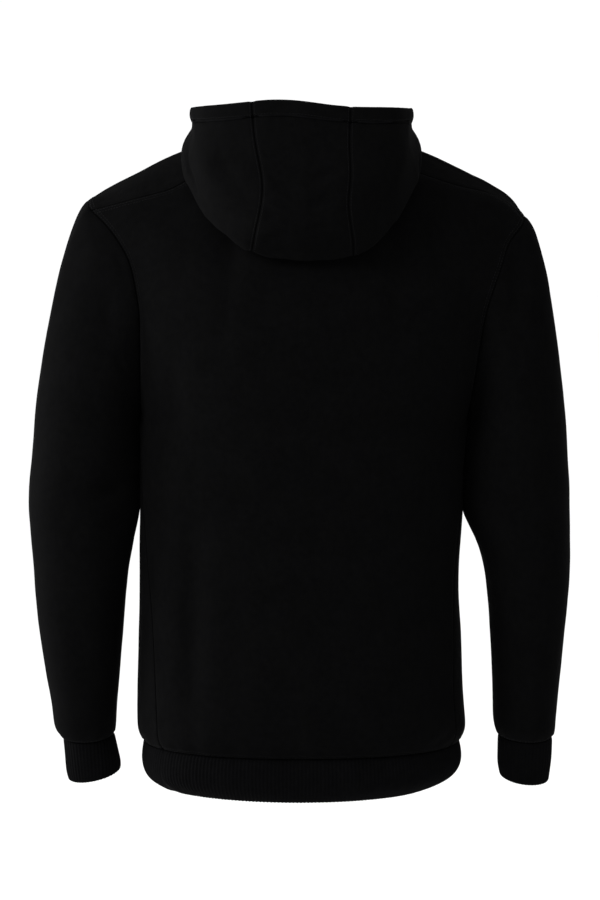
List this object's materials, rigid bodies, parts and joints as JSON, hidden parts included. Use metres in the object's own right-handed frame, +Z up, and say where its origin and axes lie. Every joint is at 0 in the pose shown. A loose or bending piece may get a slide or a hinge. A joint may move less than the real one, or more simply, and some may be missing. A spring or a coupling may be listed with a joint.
{
  "type": "hooded zip-up sweatshirt",
  "caption": "Hooded sweatshirt of fleece knit in its worn, hollow shape, hood down, with a closed front zip, rib cuffs and a rib hem band.",
  "frame": {"origin": "middle of the neck at the height of the shoulders, where the garment rests on its wearer", "axes": "+Z up, +Y to the back, +X to the wearer's left"},
  "size_m": [0.6165, 0.3035, 0.7817],
  "materials": {
    "black_fleece": "matte brushed fleece knit",
    "black_rib": "matte rib knit, folded double",
    "zip_tape": "woven zip tape",
    "dark_steel": "dark plated metal"
  },
  "bodies": {
    "garment": {"back": "black_fleece", "front_left": "black_fleece", "front_right": "black_fleece", "sleeve_left": "black_fleece", "sleeve_right": "black_fleece", "cuff_left": "black_rib", "cuff_right": "black_rib", "hem_band": "black_rib", "hood_left": "black_fleece", "hood_centre": "black_fleece", "hood_right": "black_fleece", "zip_tape_left": "zip_tape", "zip_tape_right": "zip_tape", "zip_top_stop_left": "dark_steel", "zip_top_stop_right": "dark_steel", "zip_bottom_box": "dark_steel", "zip_slider": "dark_steel"},
    "pull_tab": {"zip_pull": "dark_steel"}
  },
  "joints": [
    {"name": "pull_tab_hinge", "type": "hinge", "parent": "garment", "child": "pull_tab", "pos_m": [0, -0.10038, -0.0848], "axis": [-1, 0, 0], "range_deg": [0, 160]}
  ]
}
